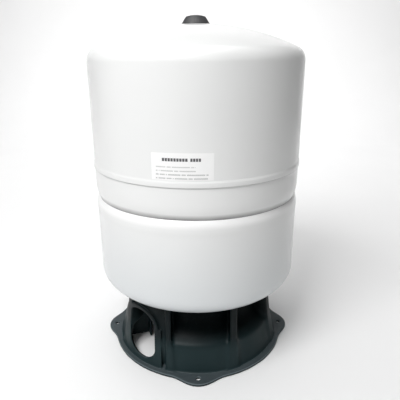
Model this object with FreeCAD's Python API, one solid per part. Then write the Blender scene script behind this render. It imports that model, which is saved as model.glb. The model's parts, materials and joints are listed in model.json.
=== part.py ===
import FreeCAD, Part
import math
import os

# Floor-standing diaphragm expansion vessel, 60 litre size.
# Millimetres. Origin on the floor under the tank's axis, +Z up, front of the vessel towards -Y.
# Azimuths are in degrees about +Z, 0 at the front (-Y) and growing towards +X.

# --- tank -------------------------------------------------------------------------------------
WALL = 1.5
UPPER_RADIUS = 195.0
LIP_RADIUS = 196.4
LIP_BOTTOM_Z = 377.0
LIP_TOP_Z = 383.5
JOGGLE_TOP_Z = 388.0
TOP_TANGENT_Z = 561.0
TOP_KNUCKLE = 26.0
TOP_CROWN = 431.0
LAP_GAP = 0.3
LOWER_RADIUS = LIP_RADIUS - WALL - LAP_GAP
LOWER_TOP_Z = LIP_TOP_Z
GROOVE_TOP_Z = 346.0
GROOVE_CREASE_Z = 324.0
GROOVE_BOTTOM_Z = 309.0
GROOVE_DEPTH = 5.2
BOTTOM_TANGENT_Z = 172.0
BOTTOM_KNUCKLE = 30.0
BOTTOM_CROWN = 429.0
WELD_SIZE = 1.6

# --- label ------------------------------------------------------------------------------------
LABEL_AZIMUTHS = (-21.0, 7.7)
LABEL_Z = (388.6, 431.5)
LABEL_THICKNESS = 0.2

# --- base stand -------------------------------------------------------------------------------
OUTER_FOOT_RADIUS = 169.4
OUTER_KNEE = (157.2, 61.0)
OUTER_TOP_RADIUS = 148.6
FLANGE_RADIUS = 178.0
FLANGE_THICKNESS = 5.5
EAR_TIP_RADIUS = 194.0
EAR_ROUND = 30.0
EAR_BLEND = 40.0
EAR_AZIMUTHS = (0.0, 90.0, 180.0, 270.0)
EAR_HOLE_RADIUS = 4.25
BOLT_CIRCLE_RADIUS = 179.0
PANEL_FOOT_RADIUS = 167.0
PANEL_KNEE = (152.5, 57.0)
PANEL_WALL_RADIUS = 124.0
PANEL_WALL_Z = 100.0
BASE_WALL = 4.0
BASE_TOP_Z = 140.0
FRONT_RIBS_X = ((-61.0, -50.5), (60.5, 74.0))
FRONT_RIB_INNER_Y = -100.0
ARCH_PIER = (-63.2, 20.8)
PIERS = (ARCH_PIER, (-109.5, 24.0), (70.5, 24.0), (109.5, 24.0), (158.0, 12.0), (202.0, 12.0))
WEB_WIDTH = 4.0
WEB_AZIMUTHS = (-76.0, -14.0, 27.5, 69.0, 111.0, 158.0, 202.0, 248.0)
HUB_INNER_RADIUS = 106.0
HUB_WALL = 4.0
SEAT_INNER_RADIUS = 78.0
SEAT_THICKNESS = 5.0
SEAT_GAP = 0.3
ARCH_X = -108.6
ARCH_HALF_WIDTH = 25.6
ARCH_Z = (12.5, 103.5)
ARCH_SILL_ROUND = 22.0
ARCH_INNER_Y = -40.0
ARCH_RIM = 8.5
HOUSING_SIDE_X = -69.0
GROOVE_INNER_Y = -142.0
GROOVE_FOOT_Z = 6.5
GROOVE_WALL = 4.0
HUB_SLOT_AZIMUTH = -45.0
HUB_SLOT_HALF_WIDTH = 40.0
HUB_SLOT_TOP_Z = 88.0

# --- studs that hold the stand to the tank ------------------------------------------------------
STUD_RADIUS = 4.0
STUD_CIRCLE_RADIUS = 93.0
STUD_BOTTOM_Z = 95.0
STUD_BOSS_RADIUS = 11.0
STUD_BOSS_Z = 107.0
STUD_CLEARANCE = 0.5
WASHER_RADIUS = 9.0
WASHER_THICKNESS = 1.6
NUT_ACROSS_FLATS = 13.0
NUT_HEIGHT = 6.5

# --- water connection ---------------------------------------------------------------------------
NIPPLE_RADIUS = 16.6
NIPPLE_BORE = 13.5
NIPPLE_BOTTOM_Z = 76.0
NIPPLE_CHAMFER = 1.2
NIPPLE_THREAD_TOP_Z = 98.0
NIPPLE_NECK_RADIUS = 17.5
NIPPLE_FLANGE_RADIUS = 26.0
NIPPLE_FLANGE_THICKNESS = 1.5
NIPPLE_HOLE_CLEARANCE = 0.3
O_RING_SECTION = 1.2
O_RING_RADIUS = 21.5
BEAD_HEIGHT = 3.5

# --- liner and diaphragm --------------------------------------------------------------------------
LINER_THICKNESS = 1.5
LINER_GAP = 0.1
LINER_TOP_Z = 305.0
DIAPHRAGM_THICKNESS = 3.0
DIAPHRAGM_STANDOFF = 4.5
CROWN_RADIUS = 174.0
WALL_THICKNESS = 2.5
WALL_FOOT = (174.3, 150.0)
WALL_HEAD = (183.8, 319.8)
RIM_RADII = (184.0, 187.4)
RIM_Z = (320.0, 328.0)
CLENCH_RADII = (181.0, 183.8)
CLENCH_Z = (319.9, 331.0)

# --- air valve --------------------------------------------------------------------------------------
BOSS_RADIUS = 17.0
BOSS_BORE = 11.2
BOSS_TOP_Z = 631.0
VALVE_HOLE_RADIUS = 8.3
VALVE_BODY_RADIUS = 8.0
VALVE_FLANGE_RADIUS = 10.5
VALVE_FLANGE_Z = (625.2, 627.2)
VALVE_BOTTOM_Z = 612.0
VALVE_NUT_Z = (615.5, 622.0)
VALVE_NUT_ACROSS_FLATS = 22.0
STEM_RADIUS = 3.85
STEM_TOP_Z = 633.0
CORE_BORE = 2.6
BARREL_RADIUS = 2.5
BARREL_BORE = 1.7
BARREL_EYE = 1.0
BARREL_Z = (622.0, 631.0)
BARREL_END = 1.0
BARREL_NECK_RADIUS = 2.1
BARREL_NECK_Z = (626.0, 628.0)
PIN_RADIUS = 0.7
PIN_TOP_Z = 632.4
PIN_COLLAR_RADIUS = 1.5
PIN_COLLAR_Z = (629.0, 629.6)
PIN_CUP_RADIUS = 1.9
PIN_CUP_Z = (619.6, 620.4)
PIN_SEAL_TOP_Z = 621.9
SPRING_RADIUS = 1.15
SPRING_WIRE_RADIUS = 0.18
SPRING_TURNS = 6

# --- screw cap ----------------------------------------------------------------------------------------
CAP_BOTTOM_Z = 623.9
CAP_FOOT_RADIUS = 25.2
CAP_SHOULDER = (17.6, 635.7)
CAP_TOP_Z = 638.5
CAP_EDGE_RADIUS = 1.0
CAP_THREAD_BORE = 17.3
CAP_RECESS_RADIUS = 19.6
CAP_RECESS_TOP_Z = 626.6
CAP_THREAD_TOP_Z = 632.2
CAP_CAVITY_RADIUS = 9.0
CAP_CAVITY_TOP_Z = 635.0
SEAL_RADII = (20.8, 23.2)
SEAL_GAP = 0.2
SEAL_Z = (623.75, 625.0)


def point(radius, z):
    """A point of a profile in the XZ plane."""
    return FreeCAD.Vector(radius, 0, z)


def line(start, end):
    return Part.LineSegment(point(*start), point(*end)).toShape()


def arc(start, middle, end):
    return Part.Arc(point(*start), point(*middle), point(*end)).toShape()


def revolve(edges, sweep=360.0):
    """Turn a closed profile of edges about the Z axis."""
    face = Part.Face(Part.Wire(Part.__sortEdges__(edges)))
    return face.revolve(FreeCAD.Vector(0, 0, 0), FreeCAD.Vector(0, 0, 1), sweep)


def turned_solid(outline):
    """Turn a closed polygon of (radius, z) points about the Z axis."""
    ends = outline[1:] + outline[:1]
    return revolve([line(start, end) for start, end in zip(outline, ends)])


def ring(inner, outer, bottom, top):
    return turned_solid([(inner, bottom), (outer, bottom), (outer, top), (inner, top)])


def rod(radius, bottom, top):
    return Part.makeCylinder(radius, top - bottom, FreeCAD.Vector(0, 0, bottom))


def at_azimuth(shape, azimuth):
    """Turn a shape built along +X so that it lies at an azimuth."""
    placed = shape.copy()
    placed.rotate(FreeCAD.Vector(0, 0, 0), FreeCAD.Vector(0, 0, 1), azimuth - 90.0)
    return placed


def hexagon(across_flats, bottom, top):
    reach = across_flats / math.sqrt(3.0)
    angles = [math.radians(60 * k) for k in range(7)]
    corners = [FreeCAD.Vector(reach * math.cos(a), reach * math.sin(a), bottom) for a in angles]
    face = Part.Face(Part.makePolygon(corners))
    return face.extrude(FreeCAD.Vector(0, 0, top - bottom))


class Dome:
    """A torispherical end: a knuckle arc from the cylinder, then a spherical crown."""

    def __init__(self, radius, tangent_z, knuckle, crown, side):
        self.side = side
        self.radius = radius
        self.tangent_z = tangent_z
        self.knuckle = knuckle
        self.crown = crown
        self.knuckle_r = radius - knuckle
        rise = math.sqrt((crown - knuckle) ** 2 - self.knuckle_r ** 2)
        self.crown_z = tangent_z - side * rise
        self.join_angle = math.atan2(rise, self.knuckle_r)

    def inset(self, depth):
        return Dome(self.radius - depth, self.tangent_z, self.knuckle - depth, self.crown - depth, self.side)

    def z(self, radius):
        return self.crown_z + self.side * math.sqrt(self.crown ** 2 - radius ** 2)

    def knuckle_point(self, angle):
        radius = self.knuckle_r + self.knuckle * math.cos(angle)
        return (radius, self.tangent_z + self.side * self.knuckle * math.sin(angle))

    def edges(self, end_radius):
        """The knuckle arc and the crown arc, from the cylinder in to end_radius."""
        join = self.knuckle_point(self.join_angle)
        middle_radius = (join[0] + end_radius) / 2
        return [
            arc((self.radius, self.tangent_z), self.knuckle_point(self.join_angle / 2), join),
            arc(join, (middle_radius, self.z(middle_radius)), (end_radius, self.z(end_radius))),
        ]

    def sphere(self, growth=0.0):
        return Part.makeSphere(self.crown + growth, FreeCAD.Vector(0, 0, self.crown_z))


TOP_DOME = Dome(UPPER_RADIUS, TOP_TANGENT_Z, TOP_KNUCKLE, TOP_CROWN, 1)
BOTTOM_DOME = Dome(LOWER_RADIUS, BOTTOM_TANGENT_Z, BOTTOM_KNUCKLE, BOTTOM_CROWN, -1)


def shell_half(side_edges, dome, hole_radius):
    """A drawn shell: side_edges(inset) gives the run from the open edge to the dome's tangent line."""
    inner_dome = dome.inset(WALL)
    outer_edges, outer_start = side_edges(0.0)
    inner_edges, inner_start = side_edges(WALL)
    hole = line((hole_radius, dome.z(hole_radius)), (hole_radius, inner_dome.z(hole_radius)))
    edges = outer_edges + dome.edges(hole_radius) + inner_edges + inner_dome.edges(hole_radius)
    return revolve(edges + [hole, line(outer_start, inner_start)])


def upper_side(inset):
    """The lip, the joggle in two short slopes and the cylinder of the upper half."""
    start = (LIP_RADIUS - inset, LIP_BOTTOM_Z)
    lip_top = (LIP_RADIUS - inset, LIP_TOP_Z)
    joggle_top = (UPPER_RADIUS - inset, JOGGLE_TOP_Z)
    run = [start, lip_top, joggle_top, (UPPER_RADIUS - inset, TOP_TANGENT_Z)]
    return [line(a, b) for a, b in zip(run, run[1:])], start


def flank(radius, tangent_z, crease_z):
    """One flank of the rolled groove: an arc that leaves the wall smoothly and ends at the crease."""
    height = crease_z - tangent_z
    arc_radius = (height ** 2 + GROOVE_DEPTH ** 2) / (2 * GROOVE_DEPTH)
    half = height / 2
    depth = arc_radius - math.sqrt(arc_radius ** 2 - half ** 2)
    return arc((radius, tangent_z), (radius - depth, tangent_z + half), (radius - GROOVE_DEPTH, crease_z))


def lower_side(inset):
    """The lap under the lip, the rolled groove and the cylinder of the lower half."""
    radius = LOWER_RADIUS - inset
    start = (radius, LOWER_TOP_Z)
    edges = [
        line(start, (radius, GROOVE_TOP_Z)),
        flank(radius, GROOVE_TOP_Z, GROOVE_CREASE_Z),
        flank(radius, GROOVE_BOTTOM_Z, GROOVE_CREASE_Z),
        line((radius, GROOVE_BOTTOM_Z), (radius, BOTTOM_TANGENT_Z)),
    ]
    return edges, start


def weld_bead(radius, z, width, height):
    """A fillet bead round a cylinder, in the corner at (radius, z), in three flats."""
    return turned_solid(
        [
            (radius, z),
            (radius + width, z),
            (radius + 0.85 * width, z + 0.5 * height),
            (radius + 0.5 * width, z + 0.85 * height),
            (radius, z + height),
        ]
    )


def tank_parts():
    seam = weld_bead(LOWER_RADIUS, LIP_BOTTOM_Z, WELD_SIZE, -WELD_SIZE)
    label = revolve(
        [
            line((UPPER_RADIUS, LABEL_Z[0]), (UPPER_RADIUS + LABEL_THICKNESS, LABEL_Z[0])),
            line((UPPER_RADIUS + LABEL_THICKNESS, LABEL_Z[0]), (UPPER_RADIUS + LABEL_THICKNESS, LABEL_Z[1])),
            line((UPPER_RADIUS + LABEL_THICKNESS, LABEL_Z[1]), (UPPER_RADIUS, LABEL_Z[1])),
            line((UPPER_RADIUS, LABEL_Z[1]), (UPPER_RADIUS, LABEL_Z[0])),
        ],
        LABEL_AZIMUTHS[1] - LABEL_AZIMUTHS[0],
    )
    return {
        "upper_shell": shell_half(upper_side, TOP_DOME, VALVE_HOLE_RADIUS),
        "lower_shell": shell_half(lower_side, BOTTOM_DOME, NIPPLE_NECK_RADIUS + NIPPLE_HOLE_CLEARANCE),
        "seam_weld": seam,
        "label": at_azimuth(label, LABEL_AZIMUTHS[0]),
    }


def panel_edges(inset):
    """Outer line of the recessed panels between the ribs, from the flange up to the top."""
    foot = (PANEL_FOOT_RADIUS - inset, 0.0)
    knee = (PANEL_KNEE[0] - inset, PANEL_KNEE[1])
    wall = (PANEL_WALL_RADIUS - inset, PANEL_WALL_Z)
    run = knee[0] - wall[0]
    drop = wall[1] - knee[1]
    half_turn = math.atan2(run, drop)
    arc_radius = drop / math.sin(2 * half_turn)
    middle = (
        wall[0] + arc_radius * (1 - math.cos(half_turn)),
        wall[1] - arc_radius * math.sin(half_turn),
    )
    top = (wall[0], BASE_TOP_Z)
    return [line(foot, knee), arc(knee, middle, wall), line(wall, top)], foot, top


def panel_solid(inset, inner_radius):
    """Everything inside the panel line, down to an inner cylinder."""
    edges, foot, top = panel_edges(inset)
    inner_foot = (inner_radius, 0.0)
    inner_top = (inner_radius, BASE_TOP_Z)
    return revolve(edges + [line(foot, inner_foot), line(inner_foot, inner_top), line(inner_top, top)])


def ear_outline():
    """Outline of the flange with four ears: tip arcs, hollow blends and the flange circle."""
    tip_centre = EAR_TIP_RADIUS - EAR_ROUND
    blend_centre = FLANGE_RADIUS + EAR_BLEND
    reach = EAR_ROUND + EAR_BLEND
    cosine = (tip_centre ** 2 + blend_centre ** 2 - reach ** 2) / (2 * tip_centre * blend_centre)
    spread = math.degrees(math.acos(cosine))

    def polar(radius, azimuth):
        angle = math.radians(azimuth - 90.0)
        return FreeCAD.Vector(radius * math.cos(angle), radius * math.sin(angle), 0)

    edges = []
    for azimuth in EAR_AZIMUTHS:
        tip = polar(EAR_TIP_RADIUS, azimuth)
        centre = polar(tip_centre, azimuth)
        touches = []
        for side in (-1, 1):
            hollow = polar(blend_centre, azimuth + side * spread)
            foot = polar(FLANGE_RADIUS, azimuth + side * spread)
            touch = centre + (hollow - centre) * (EAR_ROUND / reach)
            inward = ((foot - hollow).normalize() + (touch - hollow).normalize()).normalize()
            edges.append(Part.Arc(foot, hollow + inward * EAR_BLEND, touch).toShape())
            touches.append(touch)
        edges.append(Part.Arc(touches[0], tip, touches[1]).toShape())
        next_start = polar(FLANGE_RADIUS, azimuth + 90.0 - spread)
        middle = polar(FLANGE_RADIUS, azimuth + 45.0)
        edges.append(Part.Arc(polar(FLANGE_RADIUS, azimuth + spread), middle, next_start).toShape())
    return Part.Face(Part.Wire(Part.__sortEdges__(edges)))


def flange():
    plate = ear_outline().extrude(FreeCAD.Vector(0, 0, FLANGE_THICKNESS))
    plate = plate.cut(rod(PANEL_FOOT_RADIUS - BASE_WALL, -1.0, FLANGE_THICKNESS + 1.0))
    for azimuth in EAR_AZIMUTHS:
        hole = rod(EAR_HOLE_RADIUS, -1.0, FLANGE_THICKNESS + 1.0)
        hole.translate(FreeCAD.Vector(BOLT_CIRCLE_RADIUS, 0, 0))
        plate = plate.cut(at_azimuth(hole, azimuth))
    return plate


def radial_slab(width, start, end, bottom, top, azimuth):
    slab = Part.makeBox(end - start, width, top - bottom, FreeCAD.Vector(start, -width / 2, bottom))
    return at_azimuth(slab, azimuth)


def arch_prism(growth):
    """The pipe opening, cut straight back from the front: half-circle head and a rounded sill."""
    half_width = ARCH_HALF_WIDTH + growth
    bottom = ARCH_Z[0] - growth
    top = ARCH_Z[1] + growth
    sill = ARCH_SILL_ROUND + growth
    spring = top - half_width
    bulge = (1.0 - math.sqrt(0.5)) * sill

    def at(across, z):
        return FreeCAD.Vector(ARCH_X + across, -EAR_TIP_RADIUS, z)

    def sill_corner(side):
        start = at(side * half_width, bottom + sill)
        middle = at(side * (half_width - bulge), bottom + bulge)
        return Part.Arc(start, middle, at(side * (half_width - sill), bottom)).toShape()

    edges = [
        Part.Arc(at(-half_width, spring), at(0, top), at(half_width, spring)).toShape(),
        Part.LineSegment(at(half_width, spring), at(half_width, bottom + sill)).toShape(),
        sill_corner(1),
        Part.LineSegment(at(half_width - sill, bottom), at(sill - half_width, bottom)).toShape(),
        sill_corner(-1),
        Part.LineSegment(at(-half_width, bottom + sill), at(-half_width, spring)).toShape(),
    ]
    face = Part.Face(Part.Wire(Part.__sortEdges__(edges)))
    return face.extrude(FreeCAD.Vector(0, EAR_TIP_RADIUS + ARCH_INNER_Y, 0))


def front_block(left, right, inner_y, bottom, top):
    """Block between two X positions, from the front in to inner_y."""
    corner = FreeCAD.Vector(left, -EAR_TIP_RADIUS, bottom)
    return Part.makeBox(right - left, EAR_TIP_RADIUS + inner_y, top - bottom, corner)


def arch_housing():
    """Block that carries the arch's rim, wider at the groove's side below the arch's head."""
    left = ARCH_X - ARCH_HALF_WIDTH - ARCH_RIM
    foot = front_block(left, HOUSING_SIDE_X, ARCH_INNER_Y, 0.0, ARCH_Z[1] - ARCH_HALF_WIDTH)
    return arch_prism(ARCH_RIM).fuse(foot)


def arch_mouth():
    """The opening, ended at the side of the pier next to it."""
    reach = EAR_TIP_RADIUS
    azimuth, width = ARCH_PIER
    guard = Part.makeBox(reach, reach, BASE_TOP_Z, FreeCAD.Vector(0, width / 2 - reach, 0))
    return arch_prism(0.0).cut(at_azimuth(guard, azimuth))


def proud_parts():
    """Arch housing, front ribs and piers, cut to the stand's outer cones."""
    outer = turned_solid(
        [
            (0.0, 0.0),
            (OUTER_FOOT_RADIUS, 0.0),
            OUTER_KNEE,
            (OUTER_TOP_RADIUS, BASE_TOP_Z),
            (0.0, BASE_TOP_Z),
        ]
    )
    proud = arch_housing()
    for left, right in FRONT_RIBS_X:
        proud = proud.fuse(front_block(left, right, FRONT_RIB_INNER_Y, 0.0, BASE_TOP_Z))
    for azimuth, width in PIERS:
        pier = radial_slab(width, HUB_INNER_RADIUS + 1.0, EAR_TIP_RADIUS, 0.0, BASE_TOP_Z, azimuth)
        proud = proud.fuse(pier)
    return proud.common(outer).cut(rod(HUB_INNER_RADIUS, 0.0, BASE_TOP_Z))


def base_stand():
    left, right, inner = HOUSING_SIDE_X, FRONT_RIBS_X[0][0], GROOVE_INNER_Y
    groove = front_block(left, right, inner, GROOVE_FOOT_Z, PANEL_WALL_Z)
    body = panel_solid(0.0, HUB_INNER_RADIUS).fuse(proud_parts()).cut(groove).fuse(flange())

    wall = GROOVE_WALL
    lining = front_block(left - wall, right + wall, inner + wall, 0.0, PANEL_WALL_Z)
    hollow = panel_solid(BASE_WALL, HUB_INNER_RADIUS + HUB_WALL)
    hollow = hollow.cut(BOTTOM_DOME.sphere(SEAT_GAP + SEAT_THICKNESS)).cut(lining)
    for azimuth in WEB_AZIMUTHS:
        hollow = hollow.cut(
            radial_slab(WEB_WIDTH, HUB_INNER_RADIUS, EAR_TIP_RADIUS, -1.0, BASE_TOP_Z + 1.0, azimuth)
        )
    body = body.cut(hollow)

    below_seat = rod(HUB_INNER_RADIUS, 0.0, BASE_TOP_Z).cut(BOTTOM_DOME.sphere(SEAT_GAP + SEAT_THICKNESS))
    seat = ring(SEAT_INNER_RADIUS, HUB_INNER_RADIUS + 1.0, 100.0, BASE_TOP_Z).cut(below_seat)
    body = body.fuse(seat)
    for azimuth in EAR_AZIMUTHS:
        boss = rod(STUD_BOSS_RADIUS, STUD_BOSS_Z, BASE_TOP_Z)
        boss.translate(FreeCAD.Vector(STUD_CIRCLE_RADIUS, 0, 0))
        body = body.fuse(at_azimuth(boss, azimuth))
    for azimuth in EAR_AZIMUTHS:
        hole = rod(STUD_RADIUS + STUD_CLEARANCE, 0.0, BASE_TOP_Z)
        hole.translate(FreeCAD.Vector(STUD_CIRCLE_RADIUS, 0, 0))
        body = body.cut(at_azimuth(hole, azimuth))

    body = body.cut(arch_mouth())
    slot_end = HUB_INNER_RADIUS + HUB_WALL + 5.0
    slot = radial_slab(
        2 * HUB_SLOT_HALF_WIDTH, SEAT_INNER_RADIUS, slot_end, -1.0, HUB_SLOT_TOP_Z, HUB_SLOT_AZIMUTH
    )
    body = body.cut(slot)
    body = body.cut(BOTTOM_DOME.sphere(SEAT_GAP))
    return body.removeSplitter()


def round_the_studs(shape):
    """Four copies of a shape built on the axis, one at each stud."""
    copies = []
    for azimuth in EAR_AZIMUTHS:
        copy = shape.copy()
        copy.translate(FreeCAD.Vector(STUD_CIRCLE_RADIUS, 0, 0))
        copies.append(at_azimuth(copy, azimuth))
    return copies


def base_parts():
    washer_bottom = STUD_BOSS_Z - WASHER_THICKNESS
    tank_bottom = BOTTOM_DOME.sphere()
    studs = [stud.cut(tank_bottom) for stud in round_the_studs(rod(STUD_RADIUS, STUD_BOTTOM_Z, BASE_TOP_Z))]
    washer = ring(STUD_RADIUS + STUD_CLEARANCE / 2, WASHER_RADIUS, washer_bottom, STUD_BOSS_Z)
    nut = hexagon(NUT_ACROSS_FLATS, washer_bottom - NUT_HEIGHT, washer_bottom)
    nut = nut.cut(rod(STUD_RADIUS, 0.0, BASE_TOP_Z))
    return {
        "base_stand": base_stand(),
        "base_studs": Part.makeCompound(studs),
        "base_washers": Part.makeCompound(round_the_studs(washer)),
        "base_nuts": Part.makeCompound(round_the_studs(nut)),
    }


def water_side_parts():
    inner_dome = BOTTOM_DOME.inset(WALL + LINER_GAP)
    liner_dome = inner_dome.inset(LINER_THICKNESS)
    hole_radius = NIPPLE_NECK_RADIUS + NIPPLE_HOLE_CLEARANCE
    liner = revolve(
        inner_dome.edges(hole_radius)
        + liner_dome.edges(hole_radius)
        + [
            line((inner_dome.radius, BOTTOM_TANGENT_Z), (inner_dome.radius, LINER_TOP_Z)),
            line((inner_dome.radius, LINER_TOP_Z), (liner_dome.radius, LINER_TOP_Z)),
            line((liner_dome.radius, LINER_TOP_Z), (liner_dome.radius, BOTTOM_TANGENT_Z)),
            line((hole_radius, inner_dome.z(hole_radius)), (hole_radius, liner_dome.z(hole_radius))),
        ]
    )
    flange_bottom = liner_dome.z(NIPPLE_FLANGE_RADIUS) + O_RING_SECTION
    flange_top = flange_bottom + NIPPLE_FLANGE_THICKNESS
    nipple = turned_solid(
        [
            (NIPPLE_BORE, NIPPLE_BOTTOM_Z),
            (NIPPLE_RADIUS - NIPPLE_CHAMFER, NIPPLE_BOTTOM_Z),
            (NIPPLE_RADIUS, NIPPLE_BOTTOM_Z + NIPPLE_CHAMFER),
            (NIPPLE_RADIUS, NIPPLE_THREAD_TOP_Z),
            (NIPPLE_NECK_RADIUS, NIPPLE_THREAD_TOP_Z),
            (NIPPLE_NECK_RADIUS, flange_bottom),
            (NIPPLE_FLANGE_RADIUS, flange_bottom),
            (NIPPLE_FLANGE_RADIUS, flange_top),
            (NIPPLE_BORE, flange_top),
        ]
    )
    o_ring = ring(O_RING_RADIUS - O_RING_SECTION, O_RING_RADIUS + O_RING_SECTION, 100.0, flange_bottom)
    bead_z = BOTTOM_DOME.z(hole_radius)
    bead = turned_solid(
        [
            (NIPPLE_NECK_RADIUS, bead_z - BEAD_HEIGHT),
            (NIPPLE_NECK_RADIUS + BEAD_HEIGHT, bead_z + 1.0),
            (NIPPLE_NECK_RADIUS, bead_z + 1.0),
        ]
    )
    return {
        "liner": liner,
        "water_connection": nipple,
        "connection_o_ring": o_ring.common(liner_dome.sphere()),
        "connection_weld": bead.cut(BOTTOM_DOME.sphere()).cut(rod(hole_radius, bead_z, bead_z + 5.0)),
    }


def diaphragm_parts():
    outer = BOTTOM_DOME.inset(WALL + LINER_GAP + LINER_THICKNESS + DIAPHRAGM_STANDOFF)
    crown = outer.sphere().cut(outer.sphere(-DIAPHRAGM_THICKNESS)).common(rod(CROWN_RADIUS, 100.0, 200.0))
    wall = turned_solid(
        [
            WALL_FOOT,
            (WALL_FOOT[0] + WALL_THICKNESS, WALL_FOOT[1]),
            (WALL_HEAD[0] + WALL_THICKNESS, WALL_HEAD[1]),
            WALL_HEAD,
        ]
    )
    return {
        "diaphragm_crown": crown,
        "diaphragm_wall": wall,
        "diaphragm_rim": ring(RIM_RADII[0], RIM_RADII[1], RIM_Z[0], RIM_Z[1]),
        "clench_ring": ring(CLENCH_RADII[0], CLENCH_RADII[1], CLENCH_Z[0], CLENCH_Z[1]),
    }


def valve_body():
    return turned_solid(
        [
            (CORE_BORE, VALVE_BOTTOM_Z),
            (VALVE_BODY_RADIUS, VALVE_BOTTOM_Z),
            (VALVE_BODY_RADIUS, VALVE_FLANGE_Z[0]),
            (VALVE_FLANGE_RADIUS, VALVE_FLANGE_Z[0]),
            (VALVE_FLANGE_RADIUS, VALVE_FLANGE_Z[1]),
            (STEM_RADIUS, VALVE_FLANGE_Z[1]),
            (STEM_RADIUS, STEM_TOP_Z),
            (CORE_BORE, STEM_TOP_Z),
        ]
    )


def core_barrel():
    barrel = ring(BARREL_EYE, BARREL_RADIUS, BARREL_Z[0], BARREL_Z[1])
    barrel = barrel.cut(rod(BARREL_BORE, BARREL_Z[0] + BARREL_END, BARREL_Z[1] - BARREL_END))
    return barrel.cut(ring(BARREL_NECK_RADIUS, BARREL_RADIUS + 1.0, BARREL_NECK_Z[0], BARREL_NECK_Z[1]))


def valve_spring():
    bottom = BARREL_Z[0] + BARREL_END + SPRING_WIRE_RADIUS
    height = PIN_COLLAR_Z[0] - SPRING_WIRE_RADIUS - bottom
    helix = Part.makeHelix(height / SPRING_TURNS, height, SPRING_RADIUS)
    section = Part.Wire(
        Part.makeCircle(SPRING_WIRE_RADIUS, FreeCAD.Vector(SPRING_RADIUS, 0, 0), FreeCAD.Vector(0, 1, 0))
    )
    spring = Part.Wire(helix.Edges).makePipeShell([section], True, True)
    spring.translate(FreeCAD.Vector(0, 0, bottom))
    return spring


def valve_pin():
    pin = rod(PIN_RADIUS, PIN_CUP_Z[0], PIN_TOP_Z)
    pin = pin.fuse(rod(PIN_COLLAR_RADIUS, PIN_COLLAR_Z[0], PIN_COLLAR_Z[1]))
    return pin.fuse(rod(PIN_CUP_RADIUS, PIN_CUP_Z[0], PIN_CUP_Z[1])).removeSplitter()


def air_valve_parts():
    tank_top = TOP_DOME.sphere()
    boss = ring(BOSS_BORE, BOSS_RADIUS, TOP_DOME.z(0.0) - 2.0, BOSS_TOP_Z)
    bead = weld_bead(BOSS_RADIUS, TOP_DOME.z(BOSS_RADIUS) - 0.1, WELD_SIZE, WELD_SIZE)
    gasket = ring(VALVE_BODY_RADIUS, VALVE_FLANGE_RADIUS, TOP_DOME.z(0.0) - 2.0, VALVE_FLANGE_Z[0])
    nut = hexagon(VALVE_NUT_ACROSS_FLATS, VALVE_NUT_Z[0], VALVE_NUT_Z[1])
    return {
        "valve_boss": boss.cut(tank_top),
        "boss_weld": bead.cut(tank_top),
        "air_valve_body": valve_body(),
        "valve_gasket": gasket.cut(tank_top),
        "valve_nut": nut.cut(rod(VALVE_BODY_RADIUS, VALVE_NUT_Z[0] - 1.0, VALVE_NUT_Z[1] + 1.0)),
        "valve_core_barrel": core_barrel(),
        "valve_core_gasket": ring(BARREL_NECK_RADIUS, CORE_BORE, BARREL_NECK_Z[0], BARREL_NECK_Z[1]),
        "valve_pin": valve_pin(),
        "valve_pin_seal": ring(PIN_RADIUS, PIN_CUP_RADIUS, PIN_CUP_Z[1], PIN_SEAL_TOP_Z),
        "valve_spring": valve_spring(),
    }


def valve_cap():
    """Tapered cap with a slightly domed top, bored in steps for the seal, boss and valve stem."""
    foot = (CAP_FOOT_RADIUS, CAP_BOTTOM_Z)
    top = (0.0, CAP_TOP_Z)
    middle_radius = CAP_SHOULDER[0] / 2
    rise = CAP_TOP_Z - CAP_SHOULDER[1]
    crown_radius = (CAP_SHOULDER[0] ** 2 + rise ** 2) / (2 * rise)
    middle_z = CAP_TOP_Z - crown_radius + math.sqrt(crown_radius ** 2 - middle_radius ** 2)
    body = revolve(
        [
            line((0.0, CAP_BOTTOM_Z), foot),
            line(foot, CAP_SHOULDER),
            arc(CAP_SHOULDER, (middle_radius, middle_z), top),
            line(top, (0.0, CAP_BOTTOM_Z)),
        ]
    )
    rims = [
        edge
        for edge in body.Edges
        if abs(edge.BoundBox.ZMin - CAP_SHOULDER[1]) < 0.01 and edge.BoundBox.ZLength < 0.01
    ]
    body = body.makeFillet(CAP_EDGE_RADIUS, rims)
    body = body.cut(rod(CAP_RECESS_RADIUS, CAP_BOTTOM_Z - 1.0, CAP_RECESS_TOP_Z))
    body = body.cut(rod(CAP_THREAD_BORE, CAP_RECESS_TOP_Z - 1.0, CAP_THREAD_TOP_Z))
    body = body.cut(rod(CAP_CAVITY_RADIUS, CAP_THREAD_TOP_Z - 1.0, CAP_CAVITY_TOP_Z))
    groove_top = SEAL_Z[1] + SEAL_GAP
    return body.cut(ring(SEAL_RADII[0] - SEAL_GAP, SEAL_RADII[1] + SEAL_GAP, CAP_BOTTOM_Z - 1.0, groove_top))


def cap_parts():
    return {
        "valve_cap": valve_cap(),
        "cap_seal": ring(SEAL_RADII[0], SEAL_RADII[1], SEAL_Z[0], SEAL_Z[1]),
    }


def main():
    os.makedirs("parts", exist_ok=True)
    parts = {}
    for group in (tank_parts, base_parts, water_side_parts, diaphragm_parts, air_valve_parts, cap_parts):
        parts.update(group())
    for name, shape in parts.items():
        shape.exportStep(os.path.join("parts", name + ".step"))
        print(name, shape.isValid(), len(shape.Solids), round(shape.Volume, 1), shape.BoundBox)


main()
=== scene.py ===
import json
import math

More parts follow.
